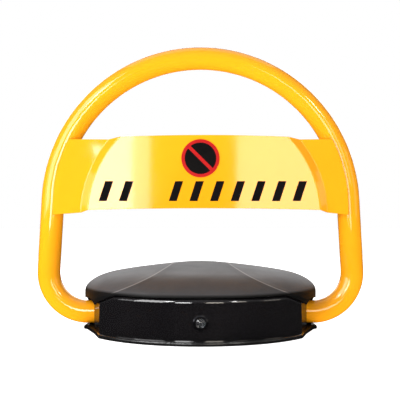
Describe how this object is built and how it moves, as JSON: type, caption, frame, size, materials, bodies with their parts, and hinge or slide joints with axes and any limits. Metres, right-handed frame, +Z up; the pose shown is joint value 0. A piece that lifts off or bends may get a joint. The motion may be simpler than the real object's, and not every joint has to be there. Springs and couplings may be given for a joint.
{
  "type": "folding parking lock",
  "caption": "Motorised folding parking lock: a bent tube hoop with a pressed sign panel that folds flat over a low domed base, with gear drive and sprung buffer.",
  "frame": {"origin": "on the ground, under the middle of the arm's pivot axis", "axes": "+X along the pivot axis to the right seen from the sign side, -Y to the front (sign side), +Z up"},
  "size_m": [0.4622, 0.3, 0.399],
  "materials": {
    "yellow_paint": "gloss powder coat over welded steel",
    "black_film": "satin cut vinyl film",
    "red_film": "satin cut vinyl film",
    "machined_steel": "turned and lightly oiled",
    "spring_steel": "oil-hardened wire",
    "white_plastic": "moulded nylon",
    "magnet": "nickel plated",
    "bronze": "sintered bronze",
    "cast_alloy": "as cast",
    "zinc_steel": "bright zinc plate",
    "rubber": "matt black rubber",
    "black_paint": "satin black powder coat",
    "gloss_black": "high-gloss black moulding",
    "satin_black": "satin black moulding",
    "black_screw": "blackened steel",
    "chrome": "polished chrome",
    "clear_lens": "clear acrylic",
    "green_board": "solder-masked circuit board",
    "box_plastic": "moulded grey plastic",
    "cell_wrap": "shrink sleeve",
    "red_plastic": "moulded button cap",
    "black_plastic": "moulded plastic",
    "lead_jacket": "flexible sleeve"
  },
  "bodies": {
    "base": {"gearbox_housing": "cast_alloy", "output_bearing": "bronze", "motor_can": "zinc_steel", "motor_bracket": "zinc_steel", "motor_screws": "zinc_steel", "bearing_block_left": "cast_alloy", "bearing_block_right": "cast_alloy", "bearing_bush_left": "bronze", "bearing_bush_right": "bronze", "shaft_seal_left": "rubber", "shaft_seal_right": "rubber", "block_screws": "zinc_steel", "base_plate": "black_paint", "front_skirt": "gloss_black", "skirt_screws": "zinc_steel", "top_cover": "satin_black", "cover_gasket": "rubber", "cover_tabs": "black_paint", "cover_screws": "black_screw", "lens_bezel": "chrome", "indicator_lens": "clear_lens", "bezel_nut": "zinc_steel", "indicator_led": "clear_lens", "led_board": "green_board", "battery_box": "box_plastic", "battery_lid": "box_plastic", "battery_gasket": "rubber", "battery_cells": "cell_wrap", "battery_contacts": "zinc_steel", "control_box": "box_plastic", "control_lid": "box_plastic", "control_board": "green_board", "pair_switch": "black_plastic", "radio_module": "zinc_steel", "sensor_board": "green_board", "limit_sensors": "black_plastic", "buzzer": "black_plastic", "internal_leads": "lead_jacket", "antenna": "rubber"},
    "drive": {"drive_gear": "machined_steel", "gear_bush": "bronze"},
    "arm": {"hoop_tube": "yellow_paint", "sign_panel": "yellow_paint", "weld_beads": "yellow_paint", "roundel_disc": "black_film", "roundel_ring": "red_film", "marking_bars": "black_film", "main_shaft": "machined_steel", "arm_plug_left": "machined_steel", "arm_plug_right": "machined_steel", "arm_pins": "machined_steel", "spring_collar": "machined_steel", "collar_pin": "machined_steel", "retaining_rings": "machined_steel", "buffer_spring": "spring_steel", "magnet_carrier": "white_plastic", "limit_magnet": "magnet"},
    "output": {"pinion": "machined_steel", "output_shaft": "machined_steel"},
    "button": {"pair_button": "red_plastic"}
  },
  "joints": [
    {"name": "arm_swing", "type": "hinge", "parent": "base", "child": "drive", "pos_m": [0, 0, 0.023], "axis": [-1, 0, 0], "range_deg": [0, 90]},
    {"name": "arm_buffer", "type": "hinge", "parent": "drive", "child": "arm", "pos_m": [0, 0, 0.023], "axis": [-1, 0, 0], "range_deg": [-40, 0], "stiffness_Nm_per_rad": 25, "springref_deg": 28.65},
    {"name": "pinion_spin", "type": "hinge", "parent": "base", "child": "output", "pos_m": [0, -0.02608, 0.026], "axis": [-1, 0, 0], "range_deg": [-130, 10]},
    {"name": "button_press", "type": "slide", "parent": "base", "child": "button", "axis": [0, 0, -1], "range_m": [0, 0.0008], "stiffness_N_per_m": 1500, "springref_m": -0.0006}
  ],
  "couplings": [
    {"joint": "pinion_spin", "follows": "arm_swing", "ratio": -1.3333}
  ]
}
